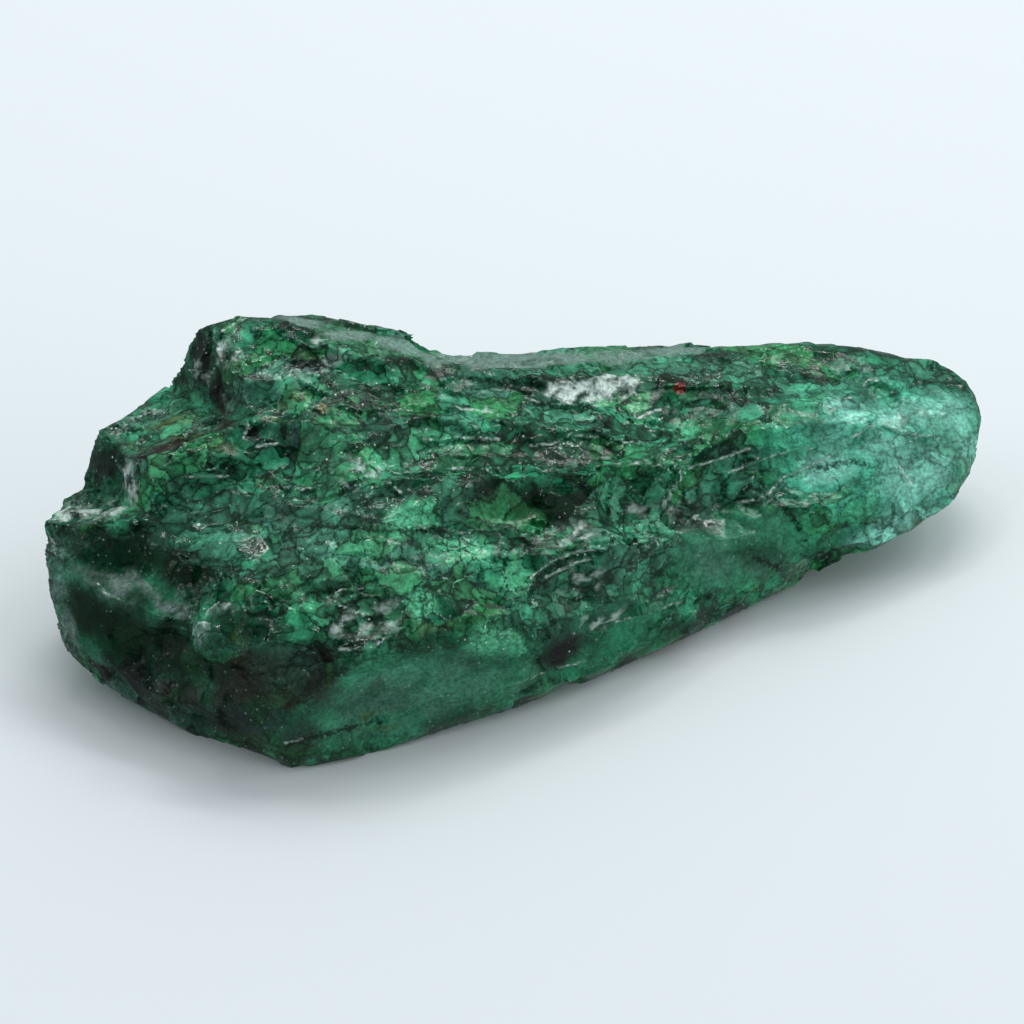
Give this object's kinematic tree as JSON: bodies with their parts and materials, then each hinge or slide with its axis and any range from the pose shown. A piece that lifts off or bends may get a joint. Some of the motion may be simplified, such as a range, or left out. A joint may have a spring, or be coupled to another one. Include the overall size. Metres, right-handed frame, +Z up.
{
  "type": "raw emerald crystal",
  "caption": "Rough, cracked emerald crystal, elongated, with a stepped broken end, flake scars and a rounded narrow end.",
  "frame": {"origin": "centre of the bounding box's lower face, on the surface that the crystal lies on", "axes": "+X along the crystal from the broken end to the narrow end, +Y to the side with the high rim, +Z up"},
  "size_m": [0.053, 0.0226, 0.0155],
  "materials": {
    "emerald": "glassy fracture surfaces over cracked, cloudy green stone with dark and brown inclusions"
  },
  "bodies": {
    "root": {"emerald_crystal": "emerald"}
  },
  "joints": []
}
